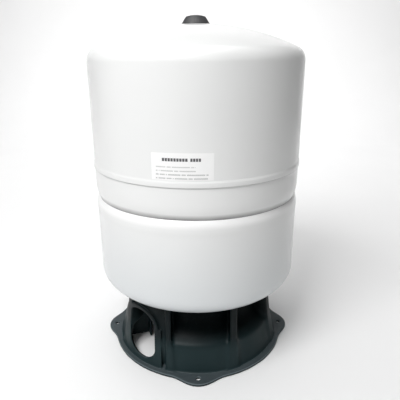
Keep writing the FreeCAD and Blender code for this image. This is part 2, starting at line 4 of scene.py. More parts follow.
import bmesh
import bpy
import numpy as np
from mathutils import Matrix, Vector


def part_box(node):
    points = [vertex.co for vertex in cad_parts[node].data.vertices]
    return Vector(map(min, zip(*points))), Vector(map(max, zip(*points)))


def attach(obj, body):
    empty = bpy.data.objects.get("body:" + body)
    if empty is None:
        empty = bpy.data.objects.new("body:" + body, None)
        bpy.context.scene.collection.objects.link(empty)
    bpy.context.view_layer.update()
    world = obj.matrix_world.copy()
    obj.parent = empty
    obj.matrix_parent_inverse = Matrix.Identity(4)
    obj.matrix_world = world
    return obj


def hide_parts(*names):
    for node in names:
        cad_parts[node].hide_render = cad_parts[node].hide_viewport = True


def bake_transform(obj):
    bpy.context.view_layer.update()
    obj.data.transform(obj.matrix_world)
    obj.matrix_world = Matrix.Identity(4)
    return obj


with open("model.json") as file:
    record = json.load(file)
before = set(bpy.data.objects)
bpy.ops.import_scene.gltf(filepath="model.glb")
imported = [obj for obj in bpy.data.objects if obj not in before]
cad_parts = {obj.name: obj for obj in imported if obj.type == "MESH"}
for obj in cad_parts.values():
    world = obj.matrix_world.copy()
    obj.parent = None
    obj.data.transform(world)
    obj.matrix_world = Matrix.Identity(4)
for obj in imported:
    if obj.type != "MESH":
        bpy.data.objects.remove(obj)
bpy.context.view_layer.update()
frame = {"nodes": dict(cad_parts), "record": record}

MM = 0.001

# Sizes are in millimetres and angles in degrees, unless a heading or comment says otherwise.
# What the frame can tell is read from it.
SHELL_LOW, SHELL_HIGH = (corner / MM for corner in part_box("upper_shell"))
BASE_LOW, BASE_HIGH = (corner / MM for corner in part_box("base_stand"))
CAP_LOW, CAP_HIGH = (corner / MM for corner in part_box("valve_cap"))
LABEL_LOW, LABEL_HIGH = (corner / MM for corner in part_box("label"))

# --- sizes of the tank ---------------------------------------------------------------------
TURN_STEPS = 288
KNUCKLE_STEPS = 22
CROWN_STEPS = 34
WALL = 1.5
LIP_RADIUS = SHELL_HIGH.x
LIP_BOTTOM = SHELL_LOW.z
LIP_EDGE_ROUND = 0.6
JOGGLE_LOW = LIP_BOTTOM + 6.5
JOGGLE_HIGH = JOGGLE_LOW + 5.0
UPPER_RADIUS = LIP_RADIUS - 1.4
LOWER_RADIUS = LIP_RADIUS - WALL - 0.3
LOWER_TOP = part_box("lower_shell")[1].z / MM
TOP_TANGENT = 561.0
TOP_KNUCKLE = 26.0
TOP_CROWN = 431.0
BOTTOM_TANGENT = 172.0
BOTTOM_KNUCKLE = 30.0
BOTTOM_CROWN = 429.0
VALVE_HOLE = 8.3
NIPPLE_HOLE = 17.8

# --- sizes of the rolled groove ------------------------------------------------------------
GROOVE_TOP = 346.0
GROOVE_CREASE = 321.5
GROOVE_BOTTOM = 307.0
GROOVE_DEPTH = 4.6
GROOVE_SOFT = 0.3
# Each arc is followed no further than this share of its radius.
GROOVE_ARC = 0.98
BULGE = 0.6
BULGE_Z = 301.0
BULGE_SPREAD = 7.0
# Heights where the spacing of the outline's points changes. It is closest round the crease, up to
# the first of these distances from it, and starts to widen at the second.
CREASE_REACH = (2.4, 3.0)
LAP_END = 360.0
BULGE_END = 285.0
STRAIGHT_TOP = 270.0
STRAIGHT_END = BOTTOM_TANGENT + 8.0

# --- sizes of the stand --------------------------------------------------------------------
VOXEL = 1.9
SETTLE_PASSES = 4
# Turned outlines are read off at half millimetres and rounded over this many of them each way.
FINE_Z = (-10.0, 200.0)
FINE_STEPS = 421
FINE_ROUND = 16
OUTER_Z = (0.0, 61.0, 140.0)
OUTER_R = (169.4, 157.2, 148.6)
FLANGE_RADIUS = 178.0
FLANGE_HEIGHT = 5.5
FLANGE_EDGE = 1.6
FLANGE_FILLET = 4.0
EAR_ROUND = 30.0
EAR_TIP = BASE_HIGH.x
EAR_BLEND = 26.0
EAR_AZIMUTHS = (0.0, 90.0, 180.0, 270.0)
EAR_HOLE = 4.25
BOLT_CIRCLE = 179.0
PANEL_FOOT = 167.0
PANEL_KNEE = (152.5, 57.0)
PANEL_WALL = 124.0
PANEL_WALL_Z = 100.0
BASE_WALL = 4.0
BASE_EDGE = 1.5
FOOT_EDGE = 1.0
FRONT_RIBS = ((-61.0, -50.5), (60.5, 74.0))
RIB_INNER_Y = -100.0
RIB_EDGE = 3.0
RIB_FILLET = 6.0
# The fillet at the ribs' feet grows by this much, from this height down over this run.
RIB_FOOT_FILLET = 8.0
RIB_FOOT_TOP = 80.0
RIB_FOOT_RUN = 40.0
# Azimuth and width of each pier. FRAME_PIER is the one left of the arch, where its opening ends.
PIERS = ((-109.5, 24.0), (-63.2, 20.8), (70.5, 24.0), (109.5, 24.0), (158.0, 12.0), (202.0, 12.0))
FRAME_PIER = PIERS[1]
PIER_INNER = 100.0
WEB_WIDTH = 4.0
WEB_FILLET = 2.0
WEB_AZIMUTHS = (-76.0, -14.0, 27.5, 69.0, 111.0, 158.0, 202.0, 248.0)
HUB_INNER = 106.0
HUB_OUTER = 110.0
SEAT_INNER = 78.0
SEAT_THICK = 5.0
SEAT_GAP = 0.3
STUD_CIRCLE = 93.0
STUD_HOLE = 4.5
STUD_BOSS = 11.0
STUD_BOSS_Z = 107.0
HOLE_EDGE = 0.8

# --- sizes of the stand's arch, the filled corner and slit right of it, and the pipe's slot ---
ARCH_X = -108.6
ARCH_HALF = 25.6
ARCH_Z = (12.5, 103.5)
ARCH_SILL = 22.0
ARCH_RIM = 8.5
ARCH_FILLET = 6.0
ARCH_EDGE = 2.5
ARCH_SIDE_X = -69.0
ARCH_INNER_Y = -40.0
SPANDREL_X = -55.0
SPANDREL_Z = 12.0
SPANDREL_INSET = 5.5
SLIT_X = (-69.0, -61.0)
SLIT_Y = -142.0
SLIT_FOOT = 6.5
SLIT_START = 84.0
SLIT_SLOPE = 0.6
SLIT_RUN = 45.0
SLOT_AZIMUTH = -45.0
SLOT_HALF = 40.0
SLOT_TOP = 88.0
SLOT_PAST_HUB = 5.0

# --- sizes of the screw cap ----------------------------------------------------------------
# Points of the chamfered foot, outward from the skirt's foot and up.
CAP_FOOT = ((-0.5, 0.0), (-0.15, 0.15), (-0.3, 0.7))
CAP_SKIRT_SHARES = (0.12, 0.84)
CAP_SHOULDER = (17.6, 635.7)
# The shoulder's arc is centred this far in from CAP_SHOULDER, and ends at this angle in radians.
CAP_SHOULDER_INSET = (0.9, 1.0)
CAP_SHOULDER_END = 1.45
# It goes out by the first times the sine and the second times the cosine, and up by the third
# times the sine.
CAP_SHOULDER_ARC = (0.55, 0.45, 1.05)
CAP_CROWN_EDGE = 1.6
CAP_CENTRE = 0.35
CAP_CAVITY = 9.0
CAP_CAVITY_TOP = 635.0
CAP_THREAD = 17.3
CAP_THREAD_TOP = 632.2
CAP_THREAD_LEAD = 0.3
CAP_THREAD_DEPTH = 0.25
CAP_THREADS = 3
CAP_PITCH = 1.6
CAP_RECESS = 19.6
CAP_RECESS_TOP = 626.6
CAP_RIBS = 48
CAP_RIB_DEPTH = 0.35
CAP_RIB_SHARES = (0.08, 0.86)
CAP_RIB_FADE = 0.1
SEAL_RADII = (20.6, 23.4)
SEAL_TOP = 625.2

# --- sizes of the diaphragm and the valve spring --------------------------------------------
WALL_FOOT_R = 174.3
WALL_HEAD_R = 183.8
DIAPHRAGM_WALL = 2.5
SPRING_WIRE = 0.18
SPRING_TURNS = 6
SPRING_STEPS = 24
SPRING_SIDES = 8

# --- sizes of the stage, in metres -----------------------------------------------------------
STAGE_REACH = 18.0
STAGE_BACK = 2.0
STAGE_BEND = 1.2
STAGE_HEIGHT = 5.0
WORLD_LIGHT = 0.09
TANK_MIDDLE = (0.0, 0.0, 0.35)
# Name, place, target, size, watts and spread of each light.
LIGHTS = (
    ("key", (-0.77, -1.19, 1.9), TANK_MIDDLE, (1.0, 1.0), 40.0, 180.0),
    ("fill", (0.4, -2.9, 1.5), TANK_MIDDLE, (1.6, 1.6), 5.0, 180.0),
    ("backdrop", (0.0, 1.0, 3.6), (0.0, 3.0, 0.0), (4.0, 0.8), 55.0, 110.0),
    ("top", (-0.3, -0.5, 2.6), TANK_MIDDLE, (2.2, 2.2), 17.0, 180.0),
)

# --- the camera, fitted to the photo, with its place in metres --------------------------------
EYE = (-0.0012, -0.827, 0.570)
EYE_DOWN = 18.54
EYE_ROLL = -0.43
LENS = 38.71
LENS_SHIFT = 0.00925
SENSOR = 36.0

# --- the label's rows of plain bars ------------------------------------------------------------
# Where the label starts and how far it goes round the tank, in radians.
LABEL_START = math.radians(-21.0)
LABEL_SWEEP = math.radians(28.7)
# Start, end, bottom and top as fractions of the label, then number of bars and strength.
LABEL_ROWS = (
    (0.182, 0.598, 0.700, 0.815, 9, 0.93),
    (0.632, 0.805, 0.700, 0.815, 4, 0.93),
    (0.077, 0.717, 0.470, 0.512, 38, 0.42),
    (0.075, 0.717, 0.327, 0.370, 38, 0.45),
    (0.073, 0.916, 0.186, 0.234, 50, 0.52),
    (0.070, 0.906, 0.048, 0.096, 50, 0.52),
)
# Rows of fewer bars than this are the heading. In the others some bars are left out, as gaps.
HEADING_BARS = 12
BAR_SHARE = 0.8
WORD_GAPS = 0.14
ROW_SHUFFLE = 50.0

# --- colours of paint and plastic, as linear red, green and blue -----------------------------
ENAMEL = ((0.785, 0.79, 0.785), (0.815, 0.82, 0.815))
# Painted highlight for the band below the crease.
ENAMEL_HIGHLIGHT = (0.95, 0.95, 0.95)
# Painted shade, darker and cooler, towards the tank's foot.
ENAMEL_FOOT_SHADE = (0.62, 0.65, 0.665)
# Painted shade for the crease and the line under the lip.
ENAMEL_SHADE = (0.17, 0.17, 0.17)
# Painted light near the floor and painted shade up the stand's wall, under the tank.
STAND_LIT_LOW = (0.0105, 0.0235, 0.026)
STAND_SHADED_HIGH = (0.001, 0.0055, 0.0065)
# Painted shade in the recess under the tank and on inward faces.
STAND_DEEP_SHADE = (0.0008, 0.0024, 0.0028)
# Painted highlight along the rounded rim near the floor.
STAND_RIM_HIGHLIGHT = (0.12, 0.145, 0.155)
# Dust and painted top light on upward faces.
STAND_DUST_AND_TOP_LIGHT = (0.056, 0.070, 0.076)
STAND_SPECK = (0.030, 0.042, 0.045)
INK = (0.03, 0.03, 0.035)

# --- heights and reaches of the shading on paint and plastic ----------------------------------
# The painted shade in the crease fades over the first distance above it and starts the second below it.
CREASE_SHADE_RISE = 10.0
CREASE_SHADE_BELOW = 0.3
# The painted shade line under the lip is this far below it, and fades over the second distance.
SEAM_SHADE_LINE = (0.9, 1.2)
# The painted highlight band comes in between these distances below the crease.
HIGHLIGHT_BELOW = (16.0, 8.0)
# Heights over which the painted shade at the tank's foot fades out.
FOOT_SHADE_Z = (130.0, 310.0)
# Heights over which the painted shade comes in up the stand's wall.
STAND_SHADE_Z = (46.0, 70.0)
# Radii and heights of the painted shade in the recess.
DEEP_RADII = (136.0, 149.0)
DEEP_Z = (50.0, 75.0)
# For the painted shade on inward faces: the radius times the cosine between it and the normal, below zero on
# inner faces.
INWARD = (-70.0, -30.0)
# The painted highlight on the rim lies below this height.
RIM_Z = 6.2


# --- small helpers ---------------------------------------------------------------------------
def new_piece(name, verts, faces, body, replaces, slot, sharp=35.0):
    """A smooth-shaded mesh from points in millimetres, in its slot's material and on a body, if any."""
    mesh = bpy.data.meshes.new(name)
    mesh.from_pydata((np.asarray(verts, float) * MM).tolist(), [], [tuple(f) for f in faces])
    mesh.update()
    piece = bpy.data.objects.new(name, mesh)
    bpy.context.scene.collection.objects.link(piece)
    mesh.materials.append(MATERIALS[slot])
    shade(mesh, sharp)
    if body:
        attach(piece, body)
    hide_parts(*replaces)
    return piece


def shade(mesh, sharp):
    """Smooth faces, with edges sharper than an angle kept sharp."""
    mesh.polygons.foreach_set("use_smooth", [True] * len(mesh.polygons))
    shape = bmesh.new()
    shape.from_mesh(mesh)
    limit = math.radians(sharp)
    flags = [e.is_manifold and e.calc_face_angle(0.0) > limit for e in shape.edges]
    shape.free()
    mesh.edges.foreach_set("use_edge_sharp", flags)


def revolved(profile, steps=TURN_STEPS):
    """Points and quads of a closed profile of (radius, z) turned about Z."""
    profile = np.asarray(profile, float)
    count = len(profile)
    angles = np.linspace(0.0, 2.0 * math.pi, steps, endpoint=False)
    radius = profile[:, 0][None, :]
    verts = np.stack(
        [
            radius * np.cos(angles)[:, None],
            radius * np.sin(angles)[:, None],
            np.broadcast_to(profile[:, 1][None, :], (steps, count)),
        ],
        axis=-1,
    ).reshape(-1, 3)
    faces = []
    for i in range(steps):
        a = i * count
        b = ((i + 1) % steps) * count
        for j in range(count):
            k = (j + 1) % count
            faces.append((a + j, b + j, b + k, a + k))
    return verts, faces


def smoothstep(value):
    value = np.clip(value, 0.0, 1.0)
    return value * value * (3.0 - 2.0 * value)


class Dome:
    """A torispherical end in the (radius, z) plane."""

    def __init__(self, radius, tangent, knuckle, crown, side):
        self.radius = radius
        self.tangent = tangent
        self.knuckle = knuckle
        self.crown = crown
        self.side = side
        centre = radius - knuckle
        rise = math.sqrt((crown - knuckle) ** 2 - centre ** 2)
        self.crown_z = tangent - side * rise
        self.join = math.atan2(rise, centre)

    def inset(self, depth):
        return Dome(self.radius - depth, self.tangent, self.knuckle - depth, self.crown - depth, self.side)

    def path(self, end_radius):
        """From the cylinder's edge in to end_radius."""
        turn = np.linspace(0.0, self.join, KNUCKLE_STEPS)
        knuckle_r = self.radius - self.knuckle + self.knuckle * np.cos(turn)
        knuckle_z = self.tangent + self.side * self.knuckle * np.sin(turn)
        crown_r = np.linspace(knuckle_r[-1], end_radius, CROWN_STEPS)[1:]
        crown_z = self.crown_z + self.side * np.sqrt(self.crown ** 2 - crown_r ** 2)
        return list(zip(np.r_[knuckle_r, crown_r], np.r_[knuckle_z, crown_z]))


TOP = Dome(UPPER_RADIUS, TOP_TANGENT, TOP_KNUCKLE, TOP_CROWN, 1)
BOTTOM = Dome(LOWER_RADIUS, BOTTOM_TANGENT, BOTTOM_KNUCKLE, BOTTOM_CROWN, -1)


# --- materials -------------------------------------------------------------------------------
def new_material(name, color, roughness, metallic=0.0, coat=0.0, coat_roughness=0.1):
    material = bpy.data.materials.new(name)
    material.use_nodes = True
    shader = material.node_tree.nodes["Principled BSDF"]
    shader.inputs["Base Color"].default_value = (*color, 1.0)
    shader.inputs["Roughness"].default_value = roughness
    shader.inputs["Metallic"].default_value = metallic
    shader.inputs["Coat Weight"].default_value = coat
    shader.inputs["Coat Roughness"].default_value = coat_roughness
    return material


def add_node(material, kind, **settings):
    node = material.node_tree.nodes.new(kind)
    for key, value in settings.items():
        if key in node.inputs:
            node.inputs[key].default_value = value
        else:
            setattr(node, key, value)
    return node


def join_nodes(material, start, end):
    material.node_tree.links.new(start, end)


def own_place(material, output="Object"):
    """The point's place in the object's own coordinates, or its normal."""
    return add_node(material, "ShaderNodeTexCoord").outputs[output]


def separate(material, vector):
    """X, Y and Z of a vector."""
    split = add_node(material, "ShaderNodeSeparateXYZ")
    join_nodes(material, vector, split.inputs[0])
    return split.outputs


def noise(material, scale, detail=3.0, stretch=None):
    """Noise in the object's own coordinates; returns its value socket."""
    source = own_place(material)
    if stretch:
        mapping = add_node(material, "ShaderNodeMapping")
        mapping.inputs["Scale"].default_value = stretch
        join_nodes(material, source, mapping.inputs["Vector"])
        source = mapping.outputs["Vector"]
    texture = add_node(material, "ShaderNodeTexNoise", Scale=scale, Detail=detail)
    join_nodes(material, source, texture.inputs["Vector"])
    return texture.outputs["Fac"]


def remap(material, source, low, high, start=0.0, end=1.0):
    """A value from low to high while the source goes from start to end, and no further."""
    node = add_node(material, "ShaderNodeMapRange")
    node.inputs["From Min"].default_value = start
    node.inputs["From Max"].default_value = end
    node.inputs["To Min"].default_value = low
    node.inputs["To Max"].default_value = high
    join_nodes(material, source, node.inputs["Value"])
    return node.outputs["Result"]


def mix_color(material, factor, first, second):
    """From first to second colour as the factor goes from 0 to 1; colours are sockets or numbers."""
    node = add_node(material, "ShaderNodeMix", data_type="RGBA")
    join_nodes(material, factor, node.inputs["Factor"])
    for socket, value in ((node.inputs[6], first), (node.inputs[7], second)):
        if isinstance(value, bpy.types.NodeSocket):
            join_nodes(material, value, socket)
        else:
            socket.default_value = (*value, 1.0)
    return node.outputs[2]


def product(material, first, *others):
    for other in others:
        first = calc(material, "MULTIPLY", first, other)
    return first


def bump(material, height, distance, strength, after=None):
    """The normal over bumps of a height from 0 to 1, with their distance in metres."""
    node = add_node(material, "ShaderNodeBump", Strength=strength, Distance=distance)
    join_nodes(material, height, node.inputs["Height"])
    if after:
        join_nodes(material, after, node.inputs["Normal"])
    return node.outputs["Normal"]


def plug(material, name, source):
    """Join a socket to an input of the material's shader."""
    join_nodes(material, source, material.node_tree.nodes["Principled BSDF"].inputs[name])


def calc(material, operation, *values):
    """A maths node; values are sockets or numbers."""
    node = add_node(material, "ShaderNodeMath", operation=operation)
    for socket, value in zip(node.inputs, values):
        if isinstance(value, bpy.types.NodeSocket):
            join_nodes(material, value, socket)
        else:
            socket.default_value = value
    return node.outputs[0]


def between(material, value, low, high):
    """1 between low and high, and 0 outside."""
    above = calc(material, "GREATER_THAN", value, low)
    return calc(material, "MULTIPLY", above, calc(material, "LESS_THAN", value, high))


def tank_paint():
    """Glossy off-white enamel with orange peel.

    Painted shade darkens the crease and a line under the lip, a painted highlight makes the band below
    the crease paler, and painted shade makes the tank darker and cooler towards its foot.
    """
    material = new_material("tank_paint", (0.80, 0.80, 0.79), 0.3, coat=0.5, coat_roughness=0.08)
    paint = mix_color(material, remap(material, noise(material, 4.0), 0.0, 1.0, 0.35, 0.65), *ENAMEL)
    height = separate(material, own_place(material))[2]
    crease = GROOVE_CREASE * MM

    # Painted shade in the crease, fading upwards, and a painted shade line under the lip.
    crease_shade = remap(material, height, 0.95, 0.0, crease, crease + CREASE_SHADE_RISE * MM)
    above = calc(material, "GREATER_THAN", height, crease - CREASE_SHADE_BELOW * MM)
    patchy = remap(material, noise(material, 30.0, 4.0), 0.8, 1.0, 0.3, 0.6)
    painted_shade = product(material, crease_shade, above, patchy)
    seam = calc(material, "ABSOLUTE", calc(material, "SUBTRACT", height, (LIP_BOTTOM - SEAM_SHADE_LINE[0]) * MM))
    painted_shade = calc(material, "MAXIMUM", painted_shade, remap(material, seam, 0.5, 0.0, 0.0, SEAM_SHADE_LINE[1] * MM))

    # A painted highlight makes the band below the crease paler.
    band = remap(material, height, 0.0, 0.8, crease - HIGHLIGHT_BELOW[0] * MM, crease - HIGHLIGHT_BELOW[1] * MM)
    band = product(material, band, calc(material, "LESS_THAN", height, crease))
    paint = mix_color(material, band, paint, ENAMEL_HIGHLIGHT)
    # Painted shade makes the tank darker and cooler towards its foot.
    foot = remap(material, height, 1.0, 0.0, FOOT_SHADE_Z[0] * MM, FOOT_SHADE_Z[1] * MM)
    paint = mix_color(material, foot, paint, ENAMEL_FOOT_SHADE)
    plug(material, "Base Color", mix_color(material, painted_shade, paint, ENAMEL_SHADE))

    plug(material, "Roughness", remap(material, noise(material, 14.0, 4.0), 0.29, 0.37, 0.2, 0.8))
    peel = bump(material, noise(material, 260.0, 2.0), 0.00005, 0.6)
    plug(material, "Normal", bump(material, noise(material, 9.0, 1.0), 0.0006, 0.25, after=peel))
    return material


def recess_shade(material, height):
    """Where painted shade goes: 1 in the recess under the tank and on faces that look inward, and 0 on the
    outer faces.
    """
    flat = add_node(material, "ShaderNodeVectorMath", operation="MULTIPLY")
    flat.inputs[1].default_value = (1.0, 1.0, 0.0)
    join_nodes(material, own_place(material), flat.inputs[0])
    radius = add_node(material, "ShaderNodeVectorMath", operation="LENGTH")
    join_nodes(material, flat.outputs["Vector"], radius.inputs[0])
    near = remap(material, radius.outputs["Value"], 1.0, 0.0, DEEP_RADII[0] * MM, DEEP_RADII[1] * MM)
    near = product(material, near, remap(material, height, 0.0, 1.0, DEEP_Z[0] * MM, DEEP_Z[1] * MM))
    inward = add_node(material, "ShaderNodeVectorMath", operation="DOT_PRODUCT")
    join_nodes(material, flat.outputs["Vector"], inward.inputs[0])
    join_nodes(material, own_place(material, "Normal"), inward.inputs[1])
    inward = remap(material, inward.outputs["Value"], 1.0, 0.0, INWARD[0] * MM, INWARD[1] * MM)
    return calc(material, "MAXIMUM", near, inward)


def stand_plastic():
    """Teal charcoal moulding. Painted light and shade make it paler near the floor and darker up the wall,
    under the tank, and painted shade darkens its recess and inward faces; a painted highlight lines its rim,
    and dust with painted top light makes its upward faces paler.
    """
    material = new_material("stand_plastic", (0.014, 0.018, 0.019), 0.5)
    height = separate(material, own_place(material))[2]
    upright = separate(material, own_place(material, "Normal"))[2]
    # Painted shade darkens the wall upwards, under the tank; near the floor it is paler.
    rise = remap(material, height, 0.0, 1.0, STAND_SHADE_Z[0] * MM, STAND_SHADE_Z[1] * MM)
    wall = mix_color(material, rise, STAND_LIT_LOW, STAND_SHADED_HIGH)
    # Painted shade in the recess and on inward faces.
    deep_shade = recess_shade(material, height)
    wall = mix_color(material, deep_shade, wall, STAND_DEEP_SHADE)
    plug(material, "Specular IOR Level", remap(material, deep_shade, 0.18, 0.04))

    # A painted highlight along the rounded rim near the floor.
    low = calc(material, "LESS_THAN", height, RIM_Z * MM)
    rim = product(material, between(material, upright, 0.25, 0.9), low, 0.8)
    wall = mix_color(material, rim, wall, STAND_RIM_HIGHLIGHT)
    # Dust and painted top light make the upward faces paler.
    upward = remap(material, upright, 0.0, 1.0, 0.86, 0.99)
    patchy = remap(material, noise(material, 14.0, 5.0), 0.75, 1.0, 0.35, 0.6)
    wall = mix_color(material, product(material, upward, patchy), wall, STAND_DUST_AND_TOP_LIGHT)
    speck = remap(material, noise(material, 160.0, 5.0), 0.0, 0.08, 0.55, 0.75)
    plug(material, "Base Color", mix_color(material, speck, wall, STAND_SPECK))

    plug(material, "Roughness", remap(material, noise(material, 22.0, 5.0), 0.42, 0.58, 0.3, 0.7))
    grain = bump(material, noise(material, 900.0, 2.0), 0.00004, 0.5)
    plug(material, "Normal", bump(material, noise(material, 18.0, 2.0), 0.0006, 0.3, after=grain))
    return material


def cap_plastic():
    material = new_material("cap_plastic", (0.05, 0.05, 0.052), 0.45)
    tone = remap(material, noise(material, 60.0, 4.0), 0.0, 1.0, 0.3, 0.7)
    plug(material, "Base Color", mix_color(material, tone, (0.04, 0.041, 0.043), (0.06, 0.06, 0.062)))
    plug(material, "Normal", bump(material, noise(material, 1200.0, 2.0), 0.00003, 0.5))
    return material


def printed_row(material, u, v, row):
    """Ink of one line of plain bars, which stand for print, across part of the label."""
    start, end, low, high, bars, strength = row
    along = product(material, calc(material, "SUBTRACT", u, start), bars / (end - start))
    inside = product(material, between(material, u, start, end), between(material, v, low, high))
    bar = calc(material, "LESS_THAN", calc(material, "FRACT", along), BAR_SHARE)
    number = calc(material, "FLOOR", calc(material, "ADD", along, ROW_SHUFFLE * low))
    chance = add_node(material, "ShaderNodeTexWhiteNoise", noise_dimensions="1D")
    join_nodes(material, number, chance.inputs["W"])
    left_out = 0.0 if bars < HEADING_BARS else WORD_GAPS
    printed = calc(material, "GREATER_THAN", chance.outputs["Value"], left_out)
    return product(material, bar, printed, inside, strength)


def label_film():
    """White film printed with rows of plain bars, placed as fractions of its width and height."""
    material = new_material("label_film", (0.9, 0.9, 0.9), 0.4)
    x, y, z = separate(material, own_place(material))
    angle = calc(material, "ARCTAN2", x, product(material, y, -1.0))
    u = calc(material, "DIVIDE", calc(material, "SUBTRACT", angle, LABEL_START), LABEL_SWEEP)
    above = calc(material, "SUBTRACT", z, LABEL_LOW.z * MM)
    v = calc(material, "DIVIDE", above, (LABEL_HIGH.z - LABEL_LOW.z) * MM)
    ink = None
    for row in LABEL_ROWS:
        mark = printed_row(material, u, v, row)
        ink = mark if ink is None else calc(material, "MAXIMUM", ink, mark)
    paper = mix_color(material, noise(material, 30.0), (0.87, 0.87, 0.865), (0.92, 0.92, 0.92))
    plug(material, "Base Color", mix_color(material, ink, paper, INK))
    plug(material, "Roughness", remap(material, noise(material, 60.0), 0.34, 0.46, 0.3, 0.7))
    return material


def metal(name, color, roughness, scale, stretch):
    """Metal with fine streaks, which vary its roughness and darken it a little."""
    material = new_material(name, color, roughness, metallic=1.0)
    streak = noise(material, scale, 4.0, stretch=stretch)
    plug(material, "Roughness", remap(material, streak, roughness - 0.08, roughness + 0.12, 0.3, 0.7))
    dark = tuple(0.8 * c for c in color)
    tone = remap(material, streak, 0.0, 1.0, 0.3, 0.7)
    plug(material, "Base Color", mix_color(material, tone, dark, color))
    plug(material, "Normal", bump(material, streak, 0.00003, 0.4))
    return material


def rubber(name, color):
    material = new_material(name, color, 0.7)
    lighter = tuple(1.5 * c for c in color)
    plug(material, "Base Color", mix_color(material, noise(material, 40.0, 4.0), color, lighter))
    plug(material, "Normal", bump(material, noise(material, 700.0, 3.0), 0.00005, 0.5))
    return material


def liner_plastic():
    material = new_material("liner_plastic", (0.8, 0.8, 0.76), 0.45)
    tone = mix_color(material, noise(material, 12.0), (0.76, 0.76, 0.71), (0.84, 0.84, 0.8))
    plug(material, "Base Color", tone)
    plug(material, "Normal", bump(material, noise(material, 150.0), 0.0001, 0.4))
    return material


MATERIALS = {
    "tank_paint": tank_paint(),
    "stand_plastic": stand_plastic(),
    "cap_plastic": cap_plastic(),
    "label_film": label_film(),
    "zinc_steel": metal("zinc_steel", (0.62, 0.64, 0.66), 0.32, 60.0, (1.0, 1.0, 6.0)),
    "stainless": metal("stainless", (0.6, 0.59, 0.57), 0.28, 40.0, (1.0, 1.0, 20.0)),
    "valve_brass": metal("valve_brass", (0.72, 0.53, 0.24), 0.3, 60.0, (1.0, 1.0, 20.0)),
    "seal_rubber": rubber("seal_rubber", (0.02, 0.02, 0.021)),
    "diaphragm_rubber": rubber("diaphragm_rubber", (0.028, 0.028, 0.03)),
    "liner_plastic": liner_plastic(),
}


# --- tank ------------------------------------------------------------------------------------
def upper_outline(inset):
    """Lip, joggle, cylinder and dome, from the lip's lower edge to the valve hole."""
    lip = LIP_RADIUS - inset
    joggle_r = lip + (UPPER_RADIUS - LIP_RADIUS) * smoothstep(np.linspace(0.0, 1.0, 9))
    joggle_z = np.linspace(JOGGLE_LOW, JOGGLE_HIGH, 9)
    wall = [(UPPER_RADIUS - inset, z) for z in np.linspace(JOGGLE_HIGH, TOP_TANGENT, 12)[1:-1]]
    edge = [(lip, LIP_BOTTOM + LIP_EDGE_ROUND), (lip, JOGGLE_LOW)]
    return edge + list(zip(joggle_r, joggle_z))[1:] + wall + TOP.inset(inset).path(VALVE_HOLE)


def shell_piece(name, outline, node):
    verts, faces = revolved(outline)
    new_piece(name, verts, faces, "vessel", [node], "tank_paint")


def upper_shell():
    edge = LIP_EDGE_ROUND
    turn = np.linspace(0.0, 0.5 * math.pi, 5)
    rolled = [(LIP_RADIUS - edge + edge * math.cos(t), LIP_BOTTOM + edge - edge * math.sin(t)) for t in turn]
    outline = rolled[:0:-1] + upper_outline(0.0) + upper_outline(WALL)[::-1][:-1]
    shell_piece("upper_shell_skin", outline + [(LIP_RADIUS - WALL, LIP_BOTTOM)], "upper_shell")


def groove_depth(z):
    """Depth of the rolled groove: two arcs that meet at the crease, slightly softened."""

    def arc_depth(tangent):
        height = GROOVE_CREASE - tangent
        radius = (height ** 2 + GROOVE_DEPTH ** 2) / (2 * GROOVE_DEPTH)
        run = np.clip((z - tangent) * np.sign(height), 0.0, GROOVE_ARC * radius)
        return radius - np.sqrt(radius ** 2 - run ** 2)

    upper = arc_depth(GROOVE_TOP)
    lower = arc_depth(GROOVE_BOTTOM)
    soft = GROOVE_SOFT
    blend = np.clip(0.5 + 0.5 * (upper - lower) / soft, 0.0, 1.0)
    return upper * (1 - blend) + lower * blend - soft * blend * (1 - blend)


def lower_outline(inset):
    """Lap, groove, cylinder and dome, from the top edge to the nipple hole."""
    close, wide = CREASE_REACH
    heights = np.r_[
        LOWER_TOP,
        np.linspace(LAP_END, GROOVE_CREASE + wide, 20),
        np.linspace(GROOVE_CREASE + close, GROOVE_CREASE - close, 17),
        np.linspace(GROOVE_CREASE - wide, BULGE_END, 30),
        np.linspace(STRAIGHT_TOP, STRAIGHT_END, 7),
    ]
    bulge = BULGE * np.exp(-(((heights - BULGE_Z) / BULGE_SPREAD) ** 2))
    radii = LOWER_RADIUS - inset - groove_depth(heights) + bulge
    return list(zip(radii, heights)) + BOTTOM.inset(inset).path(NIPPLE_HOLE)


def lower_shell():
    shell_piece("lower_shell_skin", lower_outline(0.0)[::-1] + lower_outline(WALL), "lower_shell")


# --- stand -----------------------------------------------------------------------------------
def soft_min(a, b, size):
    """The nearer of two distances, blended over a fillet of about size."""
    near = np.clip(0.5 + 0.5 * (b - a) / size, 0.0, 1.0)
    return b * (1 - near) + a * near - size * near * (1 - near)


def soft_max(a, b, size):
    return -soft_min(-a, -b, size)


